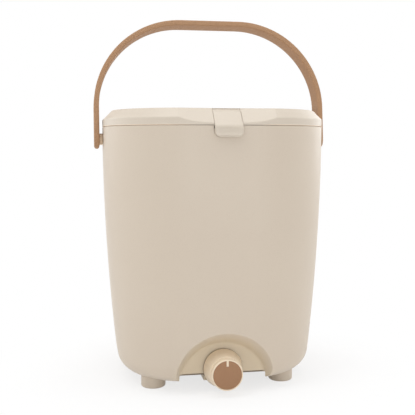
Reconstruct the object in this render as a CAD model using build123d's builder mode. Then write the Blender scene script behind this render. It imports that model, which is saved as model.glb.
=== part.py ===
from build123d import *
import os
from math import atan2, cos, degrees, hypot, radians, sin, sqrt

os.makedirs("parts", exist_ok=True)

# A kitchen bokashi bin: a tapered bin on four feet, a hinged lid with a front latch, a carrying
# handle, and a drain tap in a scoop at the foot of the front wall.
# Sizes are in millimetres. +Z is up, -Y is the front, and the origin is on the floor under the middle.

# Bin
bin_width = 253.0
bin_depth = 226.0
corner_radius = 93.0
seam_z = 293.5
base_z = 11.6
wall = 2.8
side_bow_radius = 2485.0
base_edge_radius = 24.0
seam_gap = 0.5
seam_edge = 0.4
ledge_drop = 4.2
ledge_thickness = 3.0
ledge_width = 6.4

# Feet
foot_radius = 13.8
foot_span_x = 149.0
foot_span_y = 102.0
foot_edge = 2.0
foot_rise = 6.0
foot_stub_radius = 9.0
foot_sole = 4.0
seat_clearance = 0.05

# Scoop in the front wall: a round flat back, and a slope that widens and rises towards the mouth
scoop_back = 32.7
scoop_back_z = 4.8
scoop_back_radius = 50.0
scoop_mouth_z = 10.0
scoop_mouth_radius = 61.5
scoop_slope_depth = 26.0
scoop_fillet = 4.0
scoop_edge = 1.2

# Raised floor on each side of the tap, behind the scoop's foot
relief_rise = 6.9
relief_side = 21.0
relief_width = 27.0
relief_spread = 9.0
relief_depth = 26.0
relief_lead = 3.0
relief_edge = 1.0

# Tap
tap_z = 25.6
tap_seal_thickness = 1.5
tap_seal_radius = 20.6
tap_base_radius = 22.2
tap_front_radius = 17.5
tap_length = 19.5
tap_edge = 0.6
tap_bore_radius = 12.0
tap_tail_radius = 8.0
tap_tail_bore_radius = 5.4
tap_tail_length = 14.0
tap_shoulder = 3.0
outlet_radius = 4.2
outlet_depth = 9.6
plug_clearance = 0.05
plug_end_gap = 0.2
plug_bore_radius = 7.0
plug_front_wall = 5.0
groove_depth = 1.5
groove_width = 1.8
groove_inset = 1.0
stem_side = 8.0
stem_length = 2.6
nut_radius = 10.6
nut_thickness = 6.0
nut_edge = 1.0
tail_clearance = 0.2

# Tap knob
knob_radius = 17.1
knob_length = 7.8
knob_gap = 0.3
knob_rim = 1.3
knob_edge = 0.6
inlay_thickness = 1.6
inlay_gap = 0.12
pointer_width = 2.4
pointer_length = 6.2
knob_screw_head_radius = 3.4
knob_screw_head_height = 1.8
knob_screw_radius = 1.5
knob_screw_length = 6.5
knob_screw_end_gap = 1.0
drive_width = 0.8
drive_depth = 1.0

# Strainer
strainer_z = 46.0
strainer_thickness = 2.6
strainer_clearance = 1.2
strainer_hole_radius = 2.6
strainer_pitch = 14.0
strainer_margin = 9.0
hole_rim = 1.0
leg_radius = 5.0
leg_span_x = 150.0
leg_span_y = 90.0
pull_radius = 4.5
pull_height = 20.0
pull_cap_radius = 10.0
pull_cap_height = 5.0
pull_cap_edge = 1.7

# Lid
lid_skirt = 8.0
lid_chamfer = 10.0
dip_drop = 1.5
dip_radius = 430.0
dip_angle = 45.0
lid_edge = 1.8
liner_drop = 1.0
liner_thickness = 2.4
liner_gap = 0.5
plug_wall_gap = 0.8
plug_wall_thickness = 2.0
plug_wall_height = 5.0
gasket_width = 5.0
gasket_gap = 0.2
screw_radius = 1.5
screw_length = 9.0
screw_head_radius = 2.9
screw_head_height = 1.4
screw_boss_radius = 4.2
screw_x = 86.0
screw_rows_y = (-52.0, 12.0, 76.0)

# Lid hinge at the back: two short knuckle joints on one line
hinge_offset = 2.4
knuckle_radius = 3.6
knuckle_gap = 0.4
hinge_pin_radius = 1.6
hinge_x = 27.0
lid_knuckle_length = 16.0
bin_knuckle_length = 9.0
hinge_web_height = 13.0

# Latch in the lid's front
latch_width = 30.0
latch_slot_gap = 0.4
latch_thickness = 2.2
latch_drop = 12.6
latch_stand_off = 2.0
latch_rise = 0.8
latch_lip_height = 4.5
latch_lip_thickness = 2.6
latch_bend = 8.0
latch_corner = 5.0
latch_pivot_depth = 15.0
latch_barrel_radius = 3.2
latch_pin_radius = 1.5
cheek_thickness = 2.5
catch_width = 22.0
catch_height = 1.4
catch_depth = 1.3
catch_drop = 6.8
bead_gap = 0.3
bead_height = 1.2

# Handle
handle_pivot_z = 279.2
handle_stand_off = 7.2
handle_leg = 36.6
handle_arc_radius = 99.4
handle_width = 24.0
handle_thickness = 6.0
handle_edge = 1.6
handle_end = 11.0
handle_end_corner = 10.5
handle_tilt = 6.2
pin_boss_radius = 6.6
pin_boss_gap = 0.3
pin_radius = 4.5
pin_clearance = 0.05
pin_length = 7.2
pin_bead_radius = 5.0
pin_bead_width = 1.2
pin_end = 1.4
pin_play = 0.15
tenon_side = 7.0
socket_wall = 4.0

# Places that several pieces share
front_y = -bin_depth / 2
back_y = bin_depth / 2
rim_z = seam_z - seam_gap
ledge_z = seam_z - ledge_drop
lid_height = lid_skirt + lid_chamfer
liner_z = seam_z - liner_drop
liner_top_z = liner_z + liner_thickness
scoop_back_y = front_y + scoop_back
hinge_y = back_y + hinge_offset
handle_centre_x = bin_width / 2 + handle_stand_off
corner_x = bin_width / 2 - corner_radius
corner_y = bin_depth / 2 - corner_radius
tap_plane_y = scoop_back_y - tap_seal_thickness
outlet_y = tap_plane_y - outlet_depth
dip_slope = sin(radians(dip_angle)) / cos(radians(dip_angle))


def finish(builder, name):
    """Label a finished piece and write it."""
    builder.part.label = name
    export_step(builder.part, f"parts/{name}.step")


def wall_inset(height):
    """How far the side wall has drawn in at a height, above the base edge."""
    return side_bow_radius - sqrt(side_bow_radius**2 - (rim_z - height) ** 2)


def wall_section(half, inset):
    """Upright section from the middle out to the bowed side wall, with its rounded base edge."""
    arc_x = half - side_bow_radius
    edge_z = base_z + base_edge_radius
    reach = side_bow_radius - base_edge_radius
    edge_x = arc_x + sqrt(reach**2 - (rim_z - edge_z) ** 2)
    lean = degrees(atan2(edge_z - rim_z, edge_x - arc_x))
    with BuildSketch() as section:
        with BuildLine():
            floor_line = Line((0, base_z + inset), (edge_x, base_z + inset))
            CenterArc((edge_x, edge_z), base_edge_radius - inset, -90, 90 + lean)
            side = CenterArc((arc_x, rim_z), side_bow_radius - inset, lean, -lean)
            Polyline(side @ 1, (0, rim_z), floor_line @ 0)
        make_face()
    return section.sketch


def bin_form(inset):
    """The bin as a solid block, drawn in by inset all round."""
    with BuildPart() as form:
        for half, reach, plane in (
            (bin_width / 2, corner_y, Plane.XZ),
            (bin_depth / 2, corner_x, Plane.YZ),
        ):
            with BuildSketch(plane):
                add(wall_section(half, inset))
                mirror(about=Plane.YZ)
            extrude(amount=reach, both=True)
        for quadrant in range(4):
            turn = radians(90 * quadrant)
            side_x = corner_x if quadrant in (0, 3) else -corner_x
            side_y = corner_y if quadrant in (0, 1) else -corner_y
            corner = (side_x, side_y, 0)
            outward = (cos(turn), sin(turn), 0)
            with BuildSketch(Plane(corner, x_dir=outward, z_dir=(sin(turn), -cos(turn), 0))):
                add(wall_section(corner_radius, inset))
            revolve(axis=Axis(corner, (0, 0, 1)), revolution_arc=90)
    return form.part


def rim_outline(inset, mode=Mode.ADD):
    """The rounded rectangle of the rim, drawn in by inset."""
    return RectangleRounded(bin_width - 2 * inset, bin_depth - 2 * inset, corner_radius - inset, mode=mode)


def scoop_form(grow):
    """The round scoop that holds the tap, grown by grow."""
    slant = atan2(scoop_mouth_radius - scoop_back_radius, scoop_slope_depth)
    rise = (scoop_mouth_z - scoop_back_z) / scoop_slope_depth
    widen = grow * (1 / cos(slant) - sin(slant) / cos(slant))
    with BuildPart() as form:
        with BuildSketch(Plane((0, scoop_back_y + grow, scoop_back_z - rise * grow), z_dir=(0, -1, 0))):
            Circle(scoop_back_radius + widen)
        with BuildSketch(Plane((0, scoop_back_y - scoop_slope_depth, scoop_mouth_z), z_dir=(0, -1, 0))):
            Circle(scoop_mouth_radius + grow / cos(slant))
        loft()
        extrude(form.faces().sort_by(Axis.Y)[0], amount=scoop_mouth_radius)
        fillet(form.edges().group_by(Axis.Y)[-1], scoop_fillet + grow)
    return form.part


def on_scoop_slope(point):
    """Whether a point lies on the scoop's slope, clear of its back."""
    share = (scoop_back_y - point.Y) / scoop_slope_depth
    centre_z = scoop_back_z + share * (scoop_mouth_z - scoop_back_z)
    radius = scoop_back_radius + share * (scoop_mouth_radius - scoop_back_radius)
    return share > 0.2 and abs(hypot(point.X, point.Z - centre_z) - radius) < seat_clearance


def scoop_mouth(edges):
    """The edges where the scoop's slope meets the outer wall."""
    bowed = edges.filter_by(GeomType.LINE, reverse=True)
    return bowed.filter_by(lambda edge: all(on_scoop_slope(edge @ share) for share in (0.2, 0.5, 0.8)))


def relief_form(grow):
    """The raised floor's hollow on each side of the tap, open to the scoop, grown by grow."""
    lead_y = scoop_back_y - relief_lead
    end_y = scoop_back_y + relief_depth + grow
    inner_x = relief_side - grow
    outer_x = relief_side + relief_width + grow
    with BuildPart() as form:
        with BuildSketch():
            with BuildLine():
                Polyline(
                    (inner_x, lead_y),
                    (outer_x, lead_y),
                    (outer_x + relief_spread, end_y),
                    (inner_x, end_y),
                    close=True,
                )
            make_face()
            mirror(about=Plane.YZ)
        extrude(amount=base_z + relief_rise + grow)
    return form.part


def dip_form(grow):
    """The wide round cutter that dips the lid's front, grown by grow."""
    lean = radians(dip_angle)
    axis_y = front_y - dip_radius * sin(lean)
    axis_z = seam_z + dip_drop + dip_radius * cos(lean)
    with BuildPart() as form:
        with BuildSketch(Plane((0, axis_y, axis_z), x_dir=(1, 0, 0), z_dir=(0, cos(lean), sin(lean)))):
            Circle(dip_radius + grow)
        extrude(amount=bin_depth, both=True)
    return form.part


def lid_form(inset):
    """The lid as a solid block over the seam, drawn in by inset."""
    bevel = lid_chamfer - inset * (2 - sqrt(2))
    with BuildPart() as form:
        with BuildSketch(Plane.XY.offset(seam_z)):
            rim_outline(inset)
        extrude(amount=lid_height - inset)
        chamfer(form.faces().sort_by(Axis.Z)[-1].edges(), bevel)
        add(dip_form(inset), mode=Mode.SUBTRACT)
    return form.part


def along_x(centre_x, y, z):
    """A plane square to X through a point, with its own x along +Y and its own y up."""
    return Plane((centre_x, y, z), x_dir=(0, 1, 0), z_dir=(1, 0, 0))


def knuckle_form(centre_x, length, radius, web):
    """One hinge knuckle, with its web to the bin wall below (web -1) or the lid's skirt above (web 1)."""
    root_y = back_y - wall / 2
    near_z = seam_gap if web < 0 else 0.0
    web_height = min(hinge_web_height, lid_skirt) if web > 0 else hinge_web_height
    with BuildPart() as form:
        with BuildSketch(along_x(centre_x, 0, seam_z)):
            with Locations((hinge_y, 0)):
                Circle(radius)
            if web:
                with BuildLine():
                    Polyline(
                        (root_y, web * near_z),
                        (hinge_y + radius * 0.8, web * near_z),
                        (hinge_y + radius * 0.8, web * radius * 0.6),
                        (root_y, web * web_height),
                        close=True,
                    )
                make_face()
        extrude(amount=length / 2, both=True)
    return form.part


lid_knuckle_places = (-hinge_x, hinge_x)
bin_knuckle_shift = (lid_knuckle_length + bin_knuckle_length) / 2 + knuckle_gap
bin_knuckle_places = [x + side * bin_knuckle_shift for x in lid_knuckle_places for side in (-1, 1)]
foot_places = {
    "front_left": (-foot_span_x / 2, -foot_span_y / 2),
    "front_right": (foot_span_x / 2, -foot_span_y / 2),
    "rear_left": (-foot_span_x / 2, foot_span_y / 2),
    "rear_right": (foot_span_x / 2, foot_span_y / 2),
}
side_planes = {
    "left": Plane((-bin_width / 2, 0, handle_pivot_z), x_dir=(0, -1, 0), z_dir=(-1, 0, 0)),
    "right": Plane((bin_width / 2, 0, handle_pivot_z), x_dir=(0, 1, 0), z_dir=(1, 0, 0)),
}
socket_depth = pin_length - pin_boss_gap + pin_play
bead_place = pin_boss_gap - pin_length + pin_end
tap_plane = Plane((0, tap_plane_y, tap_z), x_dir=(1, 0, 0), z_dir=(0, -1, 0))
latch_plane = along_x(0, front_y, seam_z)
knuckle_room = knuckle_radius + knuckle_gap

# The room inside the bin, with the inner walls of the scoop and the raised floor standing in it
with BuildPart() as bin_room:
    add(bin_form(wall))
    add(scoop_form(wall), mode=Mode.SUBTRACT)
    add(relief_form(wall), mode=Mode.SUBTRACT)

# Bin body: one moulded shell with the gasket ledge, the scoop, handle sockets, hinge knuckles and catch
with BuildPart() as bin_body:
    add(bin_form(0.0))
    fillet(bin_body.edges().group_by(Axis.Z)[-1], seam_edge)
    add(scoop_form(0.0), mode=Mode.SUBTRACT)
    fillet(scoop_mouth(bin_body.edges()), scoop_edge)
    add(relief_form(0.0), mode=Mode.SUBTRACT)
    foot_line = bin_body.edges().filter_by(Axis.X).filter_by_position(Axis.Y, scoop_back_y, scoop_back_y)
    fillet(foot_line.group_by(Axis.Z)[-1], relief_edge)
    add(bin_room.part, mode=Mode.SUBTRACT)
    with BuildSketch(Plane.XY.offset(ledge_z - ledge_thickness)):
        rim_outline(wall / 2)
        rim_outline(wall + ledge_width, Mode.SUBTRACT)
    extrude(amount=ledge_thickness)
    # Tap hole through the scoop's back
    with BuildSketch(tap_plane):
        Circle(tap_tail_radius + tail_clearance)
    extrude(amount=-(tap_seal_thickness + wall * 2), mode=Mode.SUBTRACT)
    # Blind sockets for the handle pins
    for plane in side_planes.values():
        with BuildSketch(plane.offset(-wall / 2)):
            Circle(pin_bead_radius + socket_wall)
        extrude(amount=-(socket_depth + pin_end - wall / 2))
    for plane in side_planes.values():
        with BuildSketch(plane):
            Circle(pin_radius + pin_clearance)
        extrude(amount=-socket_depth, mode=Mode.SUBTRACT)
        with BuildSketch(plane.offset(bead_place - pin_play)):
            Circle(pin_bead_radius + pin_clearance)
        extrude(amount=pin_bead_width + 2 * pin_play, mode=Mode.SUBTRACT)
    # Room for the lid's knuckles, then the bin's own knuckles and pin holes
    for x in lid_knuckle_places:
        add(knuckle_form(x, lid_knuckle_length + 2 * knuckle_gap, knuckle_room, 0), mode=Mode.SUBTRACT)
    for x in bin_knuckle_places:
        add(knuckle_form(x, bin_knuckle_length, knuckle_radius, -1))
    with BuildSketch(along_x(0, hinge_y, seam_z)):
        Circle(hinge_pin_radius + seat_clearance)
    extrude(amount=bin_width / 2, both=True, mode=Mode.SUBTRACT)
    # Notch under the latch, and the rib that it snaps over
    with BuildSketch(latch_plane):
        with Locations((wall / 2, 0)):
            Rectangle(wall * 2, 2 * (ledge_drop - seam_gap), align=(Align.CENTER, Align.CENTER))
    extrude(amount=latch_width / 2 + 2 * latch_slot_gap, both=True, mode=Mode.SUBTRACT)
    with BuildSketch(latch_plane):
        with Locations((wall / 2, -catch_drop)):
            Rectangle(catch_depth + wall / 2, catch_height, align=(Align.MAX, Align.MAX))
    extrude(amount=catch_width / 2, both=True)
    # Stubs that the feet press onto
    with BuildSketch(Plane.XY.offset(foot_sole)):
        with Locations(*foot_places.values()):
            Circle(foot_stub_radius)
    extrude(amount=base_z - foot_sole + wall / 2)
finish(bin_body, "bin_body")

# Feet: four caps pressed on the stubs, fitted to the floor and its rounded edge
for corner, place in foot_places.items():
    with BuildPart() as foot:
        with BuildSketch():
            with Locations(place):
                Circle(foot_radius)
        extrude(amount=base_z + foot_rise)
        fillet(foot.edges().group_by(Axis.Z)[0], foot_edge)
        add(bin_form(0.0), mode=Mode.SUBTRACT)
        with BuildSketch(Plane.XY.offset(foot_sole)):
            with Locations(place):
                Circle(foot_stub_radius + seat_clearance)
        extrude(amount=base_z, mode=Mode.SUBTRACT)
    finish(foot, f"{corner}_foot")

# Tap housing: tapered barrel in front of the scoop's back, and a threaded tail through it
with BuildPart() as tap_housing:
    with BuildSketch(tap_plane):
        Circle(tap_base_radius)
    with BuildSketch(tap_plane.offset(tap_length)):
        Circle(tap_front_radius)
    loft()
    fillet(tap_housing.edges().filter_by(GeomType.CIRCLE), tap_edge)
    with BuildSketch(tap_plane):
        Circle(tap_tail_radius)
    extrude(amount=-tap_tail_length)
    with BuildSketch(tap_plane.offset(tap_shoulder)):
        Circle(tap_bore_radius)
    extrude(amount=tap_length, mode=Mode.SUBTRACT)
    with BuildSketch(tap_plane.offset(tap_shoulder)):
        Circle(tap_tail_bore_radius)
    extrude(amount=-(tap_tail_length + tap_shoulder), mode=Mode.SUBTRACT)
    # Outlet, facing down
    with BuildSketch(Plane((0, outlet_y, tap_z), x_dir=(1, 0, 0), z_dir=(0, 0, -1))):
        Circle(outlet_radius)
    extrude(amount=tap_base_radius, mode=Mode.SUBTRACT)
finish(tap_housing, "tap_housing")

# Flat seal between the barrel and the scoop's back
with BuildPart() as tap_seal:
    with BuildSketch(tap_plane):
        Circle(tap_seal_radius)
        Circle(tap_tail_radius + seat_clearance, mode=Mode.SUBTRACT)
    extrude(amount=-tap_seal_thickness)
finish(tap_seal, "tap_seal")

# Nut inside the bin
with BuildPart() as tap_nut:
    with BuildSketch(tap_plane.offset(-(tap_seal_thickness + wall))):
        RegularPolygon(nut_radius, 6)
        Circle(tap_tail_radius + seat_clearance, mode=Mode.SUBTRACT)
    extrude(amount=-nut_thickness)
    chamfer(tap_nut.edges().group_by(Axis.Y)[-1].filter_by(GeomType.LINE), nut_edge)
finish(tap_nut, "tap_nut")

# Turning plug inside the barrel: open to the bin behind, with one side port that points with the knob
plug_radius = tap_bore_radius - plug_clearance
plug_back = tap_shoulder + plug_end_gap
groove_radius = plug_radius - groove_depth
groove_places = (plug_back + groove_inset, tap_length - groove_inset - groove_width)
with BuildPart() as tap_plug:
    with BuildSketch(tap_plane.offset(plug_back)):
        Circle(plug_radius)
    extrude(amount=tap_length + knob_gap - plug_back)
    with BuildSketch(tap_plane.offset(tap_length + knob_gap)):
        Rectangle(stem_side, stem_side)
    extrude(amount=stem_length)
    with BuildSketch(tap_plane.offset(plug_back)):
        Circle(plug_bore_radius)
    extrude(amount=tap_length + knob_gap - plug_back - plug_front_wall, mode=Mode.SUBTRACT)
    for place in groove_places:
        with BuildSketch(tap_plane.offset(place)):
            Circle(tap_bore_radius)
            Circle(groove_radius, mode=Mode.SUBTRACT)
        extrude(amount=groove_width, mode=Mode.SUBTRACT)
    with BuildSketch(Plane((0, outlet_y, tap_z))):
        Circle(outlet_radius)
    extrude(amount=tap_bore_radius, mode=Mode.SUBTRACT)
    with BuildSketch(tap_plane.offset(tap_length + knob_gap + stem_length)):
        Circle(knob_screw_radius + seat_clearance)
    extrude(amount=-knob_screw_length, mode=Mode.SUBTRACT)
finish(tap_plug, "tap_plug")

# Two round rings in the plug's grooves
ring_radius = groove_depth / 2
with BuildPart() as tap_o_rings:
    for place in groove_places:
        with BuildSketch(Plane((0, tap_plane_y - place - groove_width / 2, tap_z))):
            with Locations((groove_radius + ring_radius, 0)):
                Circle(ring_radius)
        revolve(axis=Axis((0, 0, tap_z), (0, 1, 0)))
finish(tap_o_rings, "tap_o_rings")

# Knob: a short cup with a shallow front recess and a raised pointer bar
knob_plane = tap_plane.offset(tap_length + knob_gap)
recess_radius = knob_radius - knob_rim
recess_depth = knob_length - inlay_thickness
screw_head_place = recess_depth - knob_screw_head_height
screw_head_plane = knob_plane.offset(screw_head_place)
knob_screw_reach = screw_head_place - stem_length + knob_screw_length - knob_screw_end_gap
with BuildPart() as tap_knob:
    with BuildSketch(knob_plane):
        Circle(knob_radius)
    extrude(amount=knob_length)
    fillet(tap_knob.edges().group_by(Axis.Y)[0], knob_edge)
    with BuildSketch(knob_plane.offset(recess_depth)):
        Circle(recess_radius)
        with Locations((0, recess_radius)):
            Rectangle(pointer_width, 2 * pointer_length, mode=Mode.SUBTRACT)
    extrude(amount=inlay_thickness, mode=Mode.SUBTRACT)
    with BuildSketch(knob_plane):
        Rectangle(stem_side + 2 * seat_clearance, stem_side + 2 * seat_clearance)
    extrude(amount=stem_length + seat_clearance, mode=Mode.SUBTRACT)
    with BuildSketch(knob_plane):
        Circle(knob_screw_radius + seat_clearance)
    extrude(amount=knob_length, mode=Mode.SUBTRACT)
    with BuildSketch(screw_head_plane):
        Circle(knob_screw_head_radius + seat_clearance)
    extrude(amount=knob_screw_head_height, mode=Mode.SUBTRACT)
finish(tap_knob, "tap_knob")

# Inlay disc pressed into the knob's recess, slotted for the pointer bar
with BuildPart() as tap_knob_inlay:
    with BuildSketch(knob_plane.offset(recess_depth)):
        Circle(recess_radius - inlay_gap)
        with Locations((0, recess_radius)):
            Rectangle(pointer_width + 2 * inlay_gap, 2 * (pointer_length + inlay_gap), mode=Mode.SUBTRACT)
    extrude(amount=inlay_thickness - inlay_gap)
finish(tap_knob_inlay, "tap_knob_inlay")

# Screw that holds the knob on the plug, under the inlay
with BuildPart() as tap_knob_screw:
    with BuildSketch(screw_head_plane):
        Circle(knob_screw_head_radius)
    extrude(amount=knob_screw_head_height)
    with BuildSketch(screw_head_plane.offset(knob_screw_head_height)):
        Rectangle(knob_screw_head_radius, drive_width)
        Rectangle(drive_width, knob_screw_head_radius)
    extrude(amount=-drive_depth, mode=Mode.SUBTRACT)
    with BuildSketch(screw_head_plane):
        Circle(knob_screw_radius)
    extrude(amount=-knob_screw_reach)
finish(tap_knob_screw, "tap_knob_screw")

# Strainer: a perforated plate on four legs over the drain chamber, notched round the scoop
plate_inset = wall_inset(strainer_z) + wall + strainer_clearance
scoop_reach = scoop_mouth_radius + wall + strainer_clearance
notch_half = sqrt(scoop_reach**2 - (strainer_z - scoop_mouth_z) ** 2)
notch_y = scoop_back_y + wall + strainer_clearance
hole_limit = plate_inset + strainer_margin
leg_limit = leg_radius + strainer_hole_radius + hole_rim
hole_rows = int(bin_width / strainer_pitch / 2)


def inside_rim(x, y, inset):
    """Whether a point lies inside the rounded rectangle drawn in by inset."""
    out_x = max(abs(x) - corner_x, 0)
    out_y = max(abs(y) - corner_y, 0)
    return hypot(out_x, out_y) < corner_radius - inset


def hole_places():
    """Grid points of the strainer's holes, clear of the edge, notch, legs and pull."""
    steps = range(-hole_rows, hole_rows + 1)
    for x, y in ((column * strainer_pitch, row * strainer_pitch) for column in steps for row in steps):
        near_notch = abs(x) < notch_half + strainer_margin and y < notch_y + strainer_margin
        near_leg = hypot(abs(x) - leg_span_x / 2, abs(y) - leg_span_y / 2) < leg_limit
        near_pull = hypot(x, y) < pull_cap_radius + strainer_hole_radius
        if inside_rim(x, y, hole_limit) and not near_notch and not near_leg and not near_pull:
            yield (x, y)


with BuildPart() as strainer:
    with BuildSketch(Plane.XY.offset(strainer_z)):
        rim_outline(plate_inset)
        with Locations((0, notch_y)):
            Rectangle(2 * notch_half, bin_depth, align=(Align.CENTER, Align.MAX), mode=Mode.SUBTRACT)
        with Locations(*hole_places()):
            Circle(strainer_hole_radius, mode=Mode.SUBTRACT)
    extrude(amount=strainer_thickness)
    with BuildSketch(Plane.XY.offset(base_z + wall)):
        with GridLocations(leg_span_x, leg_span_y, 2, 2):
            Circle(leg_radius)
    extrude(amount=strainer_z - base_z - wall)
    with BuildSketch(Plane.XY.offset(strainer_z)):
        Circle(pull_radius)
    extrude(amount=strainer_thickness + pull_height)
    with BuildSketch(Plane.XY.offset(strainer_z + strainer_thickness + pull_height)):
        Circle(pull_cap_radius)
    extrude(amount=pull_cap_height)
    fillet(strainer.edges().group_by(Axis.Z)[-1], pull_cap_edge)
finish(strainer, "strainer")

# Lid cover: hollow shell, with cheeks beside the latch slot, screw bosses and hinge knuckles
plate_z = dip_drop + latch_rise / cos(radians(dip_angle))
plate_end = latch_pivot_depth - latch_barrel_radius * sin(radians(dip_angle))
latch_pivot_height = plate_z + dip_slope * plate_end - latch_barrel_radius * cos(radians(dip_angle))
slot_half = latch_width / 2 + latch_slot_gap
slot_end = latch_pivot_depth + latch_barrel_radius + latch_slot_gap
screw_places = [(side * screw_x, y) for side in (-1, 1) for y in screw_rows_y]
cheek_length = slot_end + cheek_thickness
with BuildPart() as lid_ribs:
    with BuildSketch(Plane.XY.offset(liner_top_z)):
        with Locations((0, front_y + wall / 2)):
            Rectangle(2 * (slot_half + cheek_thickness), cheek_length, align=(Align.CENTER, Align.MIN))
        with Locations(*screw_places):
            Circle(screw_boss_radius)
    extrude(amount=lid_height)
    add(lid_form(wall / 2), mode=Mode.INTERSECT)
with BuildPart() as lid_cover:
    add(lid_form(0.0))
    fillet(lid_cover.edges().filter_by(lambda edge: edge.center().Z > seam_z + seam_edge), lid_edge)
    fillet(lid_cover.edges().group_by(Axis.Z)[0], seam_edge)
    add(lid_form(wall), mode=Mode.SUBTRACT)
    add(lid_ribs.part)
    with BuildSketch(Plane.XY.offset(seam_z - lid_height)):
        with Locations((0, front_y + slot_end)):
            Rectangle(2 * slot_half, 2 * slot_end, align=(Align.CENTER, Align.MAX))
    extrude(amount=3 * lid_height, mode=Mode.SUBTRACT)
    with BuildSketch(latch_plane):
        with Locations((latch_pivot_depth, latch_pivot_height)):
            Circle(latch_pin_radius + seat_clearance)
    extrude(amount=slot_half + cheek_thickness, both=True, mode=Mode.SUBTRACT)
    with BuildSketch(Plane.XY.offset(liner_top_z)):
        with Locations(*screw_places):
            Circle(screw_radius + seat_clearance)
    extrude(amount=screw_length, mode=Mode.SUBTRACT)
    for x in bin_knuckle_places:
        add(knuckle_form(x, bin_knuckle_length + 2 * knuckle_gap, knuckle_room, 0), mode=Mode.SUBTRACT)
    for x in lid_knuckle_places:
        add(knuckle_form(x, lid_knuckle_length, knuckle_radius, 1))
    with BuildSketch(along_x(0, hinge_y, seam_z)):
        Circle(hinge_pin_radius + seat_clearance)
    extrude(amount=bin_width / 2, both=True, mode=Mode.SUBTRACT)
finish(lid_cover, "lid_cover")

# Lid liner: inner plate with a plug wall that reaches down inside the ledge
plug_inset = wall + ledge_width + plug_wall_gap
with BuildPart() as lid_liner:
    with BuildSketch(Plane.XY.offset(liner_z)):
        rim_outline(wall + liner_gap)
    extrude(amount=liner_thickness)
    add(dip_form(wall + seat_clearance), mode=Mode.SUBTRACT)
    with BuildSketch(Plane.XY.offset(liner_z - plug_wall_height)):
        rim_outline(plug_inset)
        rim_outline(plug_inset + plug_wall_thickness, Mode.SUBTRACT)
    extrude(amount=plug_wall_height)
    with BuildSketch(Plane.XY.offset(liner_z)):
        with Locations(*screw_places):
            Circle(screw_radius + seat_clearance)
    extrude(amount=liner_thickness, mode=Mode.SUBTRACT)
    with BuildSketch(Plane.XY.offset(liner_z)):
        with Locations(*screw_places):
            Circle(screw_head_radius + seat_clearance)
    extrude(amount=screw_head_height, mode=Mode.SUBTRACT)
finish(lid_liner, "lid_liner")

# Gasket: flat rubber ring under the liner's edge, over the ledge
gasket_inset = wall + (ledge_width - gasket_width)
with BuildPart() as lid_gasket:
    with BuildSketch(Plane.XY.offset(ledge_z + gasket_gap)):
        rim_outline(gasket_inset)
        rim_outline(gasket_inset + gasket_width, Mode.SUBTRACT)
    extrude(amount=liner_z - ledge_z - gasket_gap)
finish(lid_gasket, "lid_gasket")

# Screws that hold the liner to the cover's bosses
with BuildPart() as lid_liner_screws:
    with BuildSketch(Plane.XY.offset(liner_z)):
        with Locations(*screw_places):
            Circle(screw_head_radius)
    extrude(amount=screw_head_height)
    with BuildSketch(Plane.XY.offset(liner_z + screw_head_height)):
        with Locations(*screw_places):
            Circle(screw_radius)
    extrude(amount=screw_length)
finish(lid_liner_screws, "lid_liner_screws")

# Hinge pins
for side, x in zip(("left", "right"), lid_knuckle_places):
    with BuildPart() as hinge_pin:
        with BuildSketch(along_x(x, hinge_y, seam_z)):
            Circle(hinge_pin_radius)
        extrude(amount=lid_knuckle_length / 2 + knuckle_gap + bin_knuckle_length, both=True)
    finish(hinge_pin, f"{side}_hinge_pin")

# Latch: a plate that lies in the lid's dip and hangs over the seam, with a pull lip and a snap bead
face_out = latch_stand_off + latch_thickness
lip_out = hinge_offset + knuckle_radius
under = latch_thickness / cos(radians(dip_angle))
bead_reach = latch_stand_off - catch_depth - bead_gap
with BuildPart() as latch:
    with BuildSketch(latch_plane) as latch_section:
        with BuildLine():
            Polyline(
                (plate_end, plate_z + dip_slope * plate_end),
                (-face_out, plate_z - dip_slope * face_out),
                (-face_out, latch_lip_height - latch_drop),
                (-lip_out, latch_lip_thickness - latch_drop),
                (-lip_out, -latch_drop),
                (-latch_stand_off, -latch_drop),
                (-latch_stand_off, plate_z - dip_slope * latch_stand_off - under),
                (plate_end, plate_z + dip_slope * plate_end - under),
                close=True,
            )
        make_face()
        crease = (-face_out, plate_z - dip_slope * face_out)
        fillet(latch_section.vertices().sort_by_distance(crease)[0], latch_bend)
        with Locations((latch_pivot_depth, latch_pivot_height)):
            Circle(latch_barrel_radius)
        with Locations((-latch_stand_off, -catch_drop - catch_height - bead_height)):
            Rectangle(2 * bead_reach, bead_height, align=(Align.CENTER, Align.MAX))
    extrude(amount=latch_width / 2, both=True)
    with BuildSketch(Plane.XZ.offset(-front_y)):
        with Locations((0, seam_z + lid_height)):
            Rectangle(latch_width, lid_height + latch_drop, align=(Align.CENTER, Align.MAX))
        with Locations((0, seam_z - latch_drop + latch_corner)):
            Rectangle(latch_width, latch_corner, align=(Align.CENTER, Align.MAX), mode=Mode.SUBTRACT)
            Rectangle(latch_width - 2 * latch_corner, latch_corner, align=(Align.CENTER, Align.MAX))
        with Locations((latch_corner - latch_width / 2, seam_z - latch_drop + latch_corner)):
            Circle(latch_corner)
        with Locations((latch_width / 2 - latch_corner, seam_z - latch_drop + latch_corner)):
            Circle(latch_corner)
    extrude(amount=bin_depth, both=True, mode=Mode.INTERSECT)
    with BuildSketch(latch_plane):
        with Locations((latch_pivot_depth, latch_pivot_height)):
            Circle(latch_pin_radius + seat_clearance)
    extrude(amount=latch_width, both=True, mode=Mode.SUBTRACT)
finish(latch, "latch")

with BuildPart() as latch_pin:
    with BuildSketch(latch_plane):
        with Locations((latch_pivot_depth, latch_pivot_height)):
            Circle(latch_pin_radius)
    extrude(amount=slot_half + cheek_thickness, both=True)
finish(latch_pin, "latch_pin")

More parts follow.
